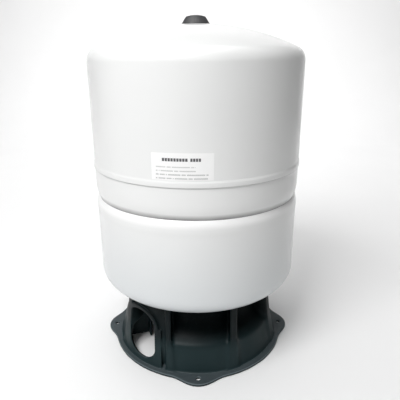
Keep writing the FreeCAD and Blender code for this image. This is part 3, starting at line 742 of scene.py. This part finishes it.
class Stand:
    """Distance fields of the moulded stand and its features, negative inside, in millimetres."""

    def __init__(self):
        run = PANEL_KNEE[0] - PANEL_WALL
        drop = PANEL_WALL_Z - PANEL_KNEE[1]
        turn = np.linspace(0.0, 2.0 * math.atan2(run, drop), 24)
        bend = drop / math.sin(turn[-1])
        arc_r = PANEL_WALL + bend * (1 - np.cos(turn))
        arc_z = PANEL_WALL_Z - bend * np.sin(turn)
        self.profile_z = np.r_[0.0, arc_z[::-1], FINE_Z[1]]
        self.profile_r = np.r_[PANEL_FOOT, arc_r[::-1], PANEL_WALL]

    def panel(self, r, z, inset=0.0):
        return self.turned(r, z, self.profile_r, self.profile_z) + inset

    def turned(self, r, z, profile_r, profile_z):
        """Distance to a turned outline whose corners are rounded a little."""
        fine_z = np.linspace(*FINE_Z, FINE_STEPS)
        fine_r = np.interp(fine_z, profile_z, profile_r)
        kernel = np.hanning(2 * FINE_ROUND + 1)
        padded = np.pad(fine_r, FINE_ROUND, mode="edge")
        fine_r = np.convolve(padded, kernel / kernel.sum(), mode="valid")
        slope = np.gradient(fine_r, fine_z)
        level = np.interp(z, fine_z, fine_r)
        cosine = np.interp(z, fine_z, 1.0 / np.hypot(1.0, slope))
        return (r - level) * cosine

    def along(self, x, y, azimuth):
        """Distances along and across a radial direction."""
        angle = math.radians(azimuth)
        ux, uy = math.sin(angle), -math.cos(angle)
        return x * ux + y * uy, -x * uy + y * ux

    def arch(self, x, z):
        """Distance to the arch's outline in the XZ plane."""
        half = ARCH_HALF
        low, high = ARCH_Z
        across = np.abs(x - ARCH_X)
        head = np.hypot(across, z - (high - half)) - half
        dx = across - (half - ARCH_SILL)
        dz = (low + ARCH_SILL) - z
        corner = np.hypot(np.maximum(dx, 0.0), np.maximum(dz, 0.0))
        foot = corner + np.minimum(np.maximum(dx, dz), 0.0) - ARCH_SILL
        return np.where(z > high - half, head, np.maximum(foot, across - half))

    def arch_rim(self, x, y, z, arch):
        """The housing round the arch, which goes straight down to the flange."""
        side = np.maximum(ARCH_X - x, x - ARCH_SIDE_X)
        foot = np.minimum(np.abs(x - ARCH_X) - ARCH_HALF - ARCH_RIM, side)
        foot = np.maximum(foot, z - (ARCH_Z[1] - ARCH_HALF))
        return np.maximum(soft_min(arch - ARCH_RIM, foot, ARCH_FILLET), y - ARCH_INNER_Y)

    def spandrel(self, x, y, z, outer):
        """The filled corner between the arch's rim and the left front rib."""
        across = np.maximum(ARCH_X - x, x - SPANDREL_X)
        corner = np.maximum(across, np.maximum(y - ARCH_INNER_Y, SPANDREL_Z - z))
        return np.maximum(corner, outer + SPANDREL_INSET)

    def ribs(self, x, y, z, outer, arch):
        """Everything that stands out from the panel: the arch's rim, front ribs and piers."""
        proud = soft_min(self.arch_rim(x, y, z, arch), self.spandrel(x, y, z, outer), RIB_EDGE)
        for left, right in FRONT_RIBS:
            rib = np.maximum(np.maximum(left - x, x - right), y - RIB_INNER_Y)
            proud = np.minimum(proud, rib)
        for azimuth, width in PIERS:
            u, v = self.along(x, y, azimuth)
            proud = np.minimum(proud, np.maximum(np.abs(v) - width / 2, PIER_INNER - u))
        return soft_max(proud, outer, RIB_EDGE)

    def slit(self, x, y, z, outer):
        """The narrow groove left of the left front rib, deeper towards its foot."""
        depth = SPANDREL_INSET + SLIT_SLOPE * np.clip(SLIT_START - z, 0.0, SLIT_RUN)
        slit = np.maximum(np.maximum(SLIT_X[0] - x, x - SLIT_X[1]), y - SLIT_Y)
        return np.maximum(np.maximum(slit, SLIT_FOOT - z), -(outer + depth))

    def flange(self, x, y, z, r):
        """The flat foot with its four ears."""
        flange = r - FLANGE_RADIUS
        for azimuth in EAR_AZIMUTHS:
            u, v = self.along(x, y, azimuth)
            ear = np.hypot(u - (EAR_TIP - EAR_ROUND), v) - EAR_ROUND
            flange = soft_min(flange, ear, EAR_BLEND)
        return soft_max(flange, z - FLANGE_HEIGHT, FLANGE_EDGE)

    def hollow(self, x, y, z, r, sphere):
        """The room between panel, hub and seat, less the webs and the wall behind the slit."""
        hollow = np.maximum(self.panel(r, z, BASE_WALL), HUB_OUTER - r)
        hollow = np.maximum(hollow, sphere + SEAT_GAP + SEAT_THICK)
        for azimuth in WEB_AZIMUTHS:
            u, v = self.along(x, y, azimuth)
            web = np.maximum(np.abs(v) - WEB_WIDTH / 2, -u)
            hollow = soft_max(hollow, -web, WEB_FILLET)
        across = np.maximum(SLIT_X[0] - BASE_WALL - x, x - SLIT_X[1] - BASE_WALL)
        return np.maximum(hollow, -np.maximum(across, y - SLIT_Y - BASE_WALL))

    def bore(self, x, y, z, r, sphere):
        """The room inside the hub, less the bosses of the studs."""
        bore = np.maximum(r - HUB_INNER, sphere + SEAT_GAP + SEAT_THICK)
        for azimuth in EAR_AZIMUTHS:
            u, v = self.along(x, y, azimuth)
            boss = np.maximum(np.hypot(u - STUD_CIRCLE, v) - STUD_BOSS, STUD_BOSS_Z - z)
            bore = soft_max(bore, -boss, BASE_EDGE)
        return bore

    def mouth(self, x, y, arch):
        """The opening through the arch, cut off by the pier left of it."""
        pier, width = FRAME_PIER
        across = self.along(x, y, pier)[1]
        return np.maximum(np.maximum(arch, y - ARCH_INNER_Y), width / 2 - across)

    def pipe_slot(self, x, y, z):
        """The slot in the hub that the pipe passes through on its way to the arch."""
        u, v = self.along(x, y, SLOT_AZIMUTH)
        reach = np.maximum(SEAT_INNER - u, u - HUB_OUTER - SLOT_PAST_HUB)
        return np.maximum(np.maximum(np.abs(v) - SLOT_HALF, reach), z - SLOT_TOP)

    def distance(self, x, y, z):
        r = np.hypot(x, y)
        outer = self.turned(r, z, OUTER_R, OUTER_Z)
        arch = self.arch(x, z)
        sphere = BOTTOM.crown - np.sqrt(x * x + y * y + (z - BOTTOM.crown_z) ** 2)

        spread = RIB_FILLET + RIB_FOOT_FILLET * smoothstep((RIB_FOOT_TOP - z) / RIB_FOOT_RUN)
        body = soft_min(self.panel(r, z), self.ribs(x, y, z, outer, arch), spread)
        body = soft_max(body, outer, BASE_EDGE)
        body = soft_max(body, -self.slit(x, y, z, outer), RIB_EDGE)
        body = soft_min(body, self.flange(x, y, z, r), FLANGE_FILLET)

        body = soft_max(body, -self.hollow(x, y, z, r, sphere), BASE_EDGE)
        body = soft_max(body, -self.bore(x, y, z, r, sphere), BASE_EDGE)
        body = soft_max(body, SEAT_INNER - r, BASE_EDGE)
        body = soft_max(body, -self.mouth(x, y, arch), ARCH_EDGE)
        body = soft_max(body, -self.pipe_slot(x, y, z), BASE_EDGE)

        for azimuth in EAR_AZIMUTHS:
            u, v = self.along(x, y, azimuth)
            body = soft_max(body, EAR_HOLE - np.hypot(u - BOLT_CIRCLE, v), HOLE_EDGE)
            body = soft_max(body, STUD_HOLE - np.hypot(u - STUD_CIRCLE, v), HOLE_EDGE)
        body = soft_max(body, sphere + SEAT_GAP, FOOT_EDGE)
        return soft_max(body, -z, FOOT_EDGE)


def surface_of(field, low, high, step):
    """Quads round the zero level of a distance field, each point moved onto the level."""
    axes = [np.arange(low[k] - 2 * step, high[k] + 3 * step, step, dtype=np.float32) for k in range(3)]
    shape = tuple(len(a) for a in axes)
    values = np.empty(shape, np.float32)
    for k, height in enumerate(axes[2]):
        x, y = np.meshgrid(axes[0], axes[1], indexing="ij")
        values[:, :, k] = field(x, y, np.full_like(x, height))
    inside = values < 0
    corners = np.zeros(tuple(n - 1 for n in shape), np.int8)
    for dx in (0, 1):
        for dy in (0, 1):
            for dz in (0, 1):
                part = inside[dx:shape[0] - 1 + dx, dy:shape[1] - 1 + dy, dz:shape[2] - 1 + dz]
                corners += part
    active = (corners > 0) & (corners < 8)
    index = np.full(active.shape, -1, np.int64)
    cells = np.argwhere(active)
    index[active] = np.arange(len(cells))
    total = np.zeros((len(cells), 3))
    count = np.zeros(len(cells))
    quads = []
    for axis in range(3):
        ahead = [0, 0, 0]
        ahead[axis] = 1
        first = values[:shape[0] - ahead[0], :shape[1] - ahead[1], :shape[2] - ahead[2]]
        second = values[ahead[0]:, ahead[1]:, ahead[2]:]
        crossing = (first < 0) != (second < 0)
        where = np.argwhere(crossing)
        a = first[crossing]
        b = second[crossing]
        points = where.astype(float)
        points[:, axis] += a / (a - b)
        others = [k for k in range(3) if k != axis]
        around = []
        for i, j in ((-1, -1), (0, -1), (0, 0), (-1, 0)):
            cell = where.copy()
            cell[:, others[0]] += i
            cell[:, others[1]] += j
            around.append(index[cell[:, 0], cell[:, 1], cell[:, 2]])
        around = np.stack(around, 1)
        for corner in range(4):
            np.add.at(total, around[:, corner], points)
            np.add.at(count, around[:, corner], 1.0)
        flip = (a < 0) == (axis != 1)
        quads.append(np.where(flip[:, None], around, around[:, ::-1]))
    verts = total / count[:, None] * step + np.array([a[0] for a in axes])
    quads = np.concatenate(quads)
    for _ in range(SETTLE_PASSES):
        verts = settle(field, verts, step)
    return verts, quads


def settle(field, verts, step):
    """Move points along the field's gradient onto its zero level."""
    x, y, z = verts.T
    value = field(x, y, z)
    reach = 0.05
    gradient = np.stack(
        [
            field(x + reach, y, z) - field(x - reach, y, z),
            field(x, y + reach, z) - field(x, y - reach, z),
            field(x, y, z + reach) - field(x, y, z - reach),
        ],
        axis=1,
    ) / (2 * reach)
    # A weak gradient counts as at least half, and a point moves half a cell at most.
    size = np.maximum((gradient ** 2).sum(1), 0.25)
    move = np.clip(value / size, -0.5 * step, 0.5 * step)
    return verts - gradient * move[:, None]


def base_stand():
    verts, faces = surface_of(Stand().distance, BASE_LOW, BASE_HIGH, VOXEL)
    verts[:, 2] = np.maximum(verts[:, 2], 0.0)
    new_piece(
        "base_moulding", verts, faces.tolist(), "vessel", ["base_stand"], "stand_plastic", sharp=180.0
    )


# --- screw cap -------------------------------------------------------------------------------
def cap_outside():
    """The cap's outline from its foot over the skirt and shoulder to the middle of its crown."""
    foot_r = CAP_HIGH.x
    foot_z = CAP_LOW.z
    top_r, top_z = CAP_SHOULDER
    outline = [(foot_r + out, foot_z + up) for out, up in CAP_FOOT]
    for share in np.linspace(*CAP_SKIRT_SHARES, 13):
        outline.append((foot_r + (top_r - foot_r) * share, foot_z + (top_z - foot_z) * share))
    edge_r, edge_z = top_r - CAP_SHOULDER_INSET[0], top_z - CAP_SHOULDER_INSET[1]
    slope = math.atan2(foot_r - top_r, top_z - foot_z)
    swell, round_r, round_z = CAP_SHOULDER_ARC
    for turn in np.linspace(slope, CAP_SHOULDER_END, 7):
        sine, cosine = math.sin(turn), math.cos(turn)
        outline.append((edge_r + swell * sine + round_r * cosine, edge_z + round_z * sine))
    rise = CAP_HIGH.z - top_z
    crown = (top_r ** 2 + rise ** 2) / (2 * rise)
    for radius in np.linspace(top_r - CAP_CROWN_EDGE, CAP_CENTRE, 14):
        outline.append((radius, CAP_HIGH.z - crown + math.sqrt(crown ** 2 - radius ** 2)))
    return outline


def cap_inside():
    """The cap's outline from the middle of its cavity down the thread to the groove of its seal."""
    foot_z = CAP_LOW.z
    outline = [(CAP_CENTRE, CAP_CAVITY_TOP), (CAP_CAVITY, CAP_CAVITY_TOP), (CAP_CAVITY, CAP_THREAD_TOP)]
    for turn in range(CAP_THREADS):
        level = CAP_THREAD_TOP - CAP_THREAD_LEAD - turn * CAP_PITCH
        outline += [(CAP_THREAD, level), (CAP_THREAD - CAP_THREAD_DEPTH, level - 0.5 * CAP_PITCH)]
    outline += [(CAP_THREAD, CAP_RECESS_TOP), (CAP_RECESS, CAP_RECESS_TOP), (CAP_RECESS, foot_z)]
    inner, outer = SEAL_RADII
    return outline + [(inner, foot_z), (inner, SEAL_TOP), (outer, SEAL_TOP), (outer, foot_z)]


def screw_cap():
    """Tapered cap with a rounded shoulder and low grip ribs round its skirt."""
    outside = cap_outside()
    outline = outside + cap_inside()
    verts, faces = revolved(outline, steps=CAP_RIBS * 6)
    angle = np.arctan2(verts[:, 1], verts[:, 0])
    radius = np.hypot(verts[:, 0], verts[:, 1])
    index = np.arange(len(verts)) % len(outline)
    share = (verts[:, 2] - CAP_LOW.z) / (CAP_SHOULDER[1] - CAP_LOW.z)
    low, high = CAP_RIB_SHARES
    ribbed = smoothstep((share - low) / CAP_RIB_FADE) * smoothstep((high - share) / CAP_RIB_FADE)
    ribbed = ribbed * (index < len(outside))
    valley = CAP_RIB_DEPTH * (0.5 - 0.5 * np.cos(CAP_RIBS * angle)) ** 2 * ribbed
    shrink = (radius - valley) / radius
    verts = np.column_stack([verts[:, 0] * shrink, verts[:, 1] * shrink, verts[:, 2]])
    new_piece("screw_cap_moulding", verts, faces, "screw_cap", ["valve_cap"], "cap_plastic")


# --- diaphragm and valve spring ----------------------------------------------------------------
def blended_piece(name, verts, faces, slot, node):
    """A mesh on no body, with its place baked in, in place of a CAD node."""
    piece = new_piece(name, verts, faces, None, [node], slot)
    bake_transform(piece)


def diaphragm_wall():
    """Side of the rubber diaphragm, from the clenched rim down to the crown's edge."""
    low, high = (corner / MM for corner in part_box("diaphragm_wall"))
    foot = high.x - (WALL_HEAD_R - WALL_FOOT_R)
    share = np.linspace(0.0, 1.0, 40)
    outer = foot + (high.x - foot) * share
    level = low.z + (high.z - low.z) * share
    outline = list(zip(outer, level)) + list(zip(outer - DIAPHRAGM_WALL, level))[::-1]
    verts, faces = revolved(outline, steps=144)
    blended_piece(
        "diaphragm_side", verts, faces, "diaphragm_rubber", "diaphragm_wall",
    )


def valve_spring():
    """Fine wire spring round the valve pin."""
    low, high = (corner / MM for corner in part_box("valve_spring"))
    wire = SPRING_WIRE
    mean = high.x - wire
    steps = SPRING_STEPS * SPRING_TURNS
    sides = SPRING_SIDES
    verts = []
    for i in range(steps + 1):
        angle = 2.0 * math.pi * i / SPRING_STEPS
        level = low.z + wire + (high.z - low.z - 2 * wire) * i / steps
        for j in range(sides):
            turn = 2.0 * math.pi * j / sides
            reach = mean + wire * math.cos(turn)
            verts.append((reach * math.cos(angle), reach * math.sin(angle), level + wire * math.sin(turn)))
    faces = []
    for i in range(0, sides * steps, sides):
        for j in range(sides):
            k = (j + 1) % sides
            faces.append((i + j, i + sides + j, i + sides + k, i + k))
    last = sides * steps
    faces += [tuple(range(sides)), tuple(range(last + sides - 1, last - 1, -1))]
    blended_piece(
        "core_spring", verts, faces, "stainless", "valve_spring",
    )


# --- the frame's own nodes ---------------------------------------------------------------------
def dress_frame():
    """Give every CAD node the material of its slot."""
    for entry in frame["record"]["subparts"]:
        node = frame["nodes"][entry["node"]]
        node.data.materials.clear()
        node.data.materials.append(MATERIALS[entry["material_slot"]])


# --- stage, light and camera -------------------------------------------------------------------
def area_light(name, place, target, size, watts, spread):
    light = bpy.data.lights.new(name, "AREA")
    light.shape = "RECTANGLE"
    light.size, light.size_y = size
    light.energy = watts
    light.spread = math.radians(spread)
    lamp = bpy.data.objects.new(name, light)
    lamp.location = place
    lamp.rotation_euler = (Vector(target) - Vector(place)).to_track_quat("-Z", "Y").to_euler()
    bpy.context.scene.collection.objects.link(lamp)


def sweep():
    """Pale floor that curves up into a backdrop."""
    turn = np.linspace(0.0, 0.5 * math.pi, 25)
    curve = [(STAGE_BACK + STAGE_BEND * math.sin(t), STAGE_BEND * (1.0 - math.cos(t))) for t in turn]
    outline = [(-STAGE_REACH, 0.0)] + curve + [(STAGE_BACK + STAGE_BEND, STAGE_HEIGHT)]
    verts = [(side * STAGE_REACH, y, z) for y, z in outline for side in (-1.0, 1.0)]
    faces = [(2 * i, 2 * i + 1, 2 * i + 3, 2 * i + 2) for i in range(len(outline) - 1)]
    mesh = bpy.data.meshes.new("floor")
    mesh.from_pydata(verts, [], faces)
    mesh.polygons.foreach_set("use_smooth", [True] * len(mesh.polygons))
    floor = bpy.data.objects.new("floor", mesh)
    bpy.context.scene.collection.objects.link(floor)
    material = new_material("floor_paint", (0.9, 0.9, 0.9), 0.8)
    tone = mix_color(material, noise(material, 3.0), (0.86, 0.86, 0.86), (0.89, 0.89, 0.89))
    plug(material, "Base Color", tone)
    mesh.materials.append(material)


def studio():
    """Faint light from all round, and soft lamps."""
    world = bpy.data.worlds.new("studio")
    world.use_nodes = True
    background = world.node_tree.nodes["Background"]
    background.inputs["Color"].default_value = (1.0, 1.0, 1.0, 1.0)
    background.inputs["Strength"].default_value = WORLD_LIGHT
    bpy.context.scene.world = world
    for light in LIGHTS:
        area_light(*light)


def camera():
    data = bpy.data.cameras.new("camera")
    data.sensor_width = SENSOR
    data.lens = LENS
    data.shift_x = LENS_SHIFT
    eye = bpy.data.objects.new("camera", data)
    eye.location = EYE
    eye.rotation_mode = "XYZ"
    eye.rotation_euler = (math.radians(90.0 - EYE_DOWN), 0.0, 0.0)
    eye.rotation_euler.rotate_axis("Z", math.radians(EYE_ROLL))
    bpy.context.scene.collection.objects.link(eye)
    bpy.context.scene.camera = eye
    bpy.context.scene.view_settings.view_transform = "Standard"


upper_shell()
lower_shell()
base_stand()
screw_cap()
diaphragm_wall()
valve_spring()
dress_frame()
sweep()
studio()
camera()
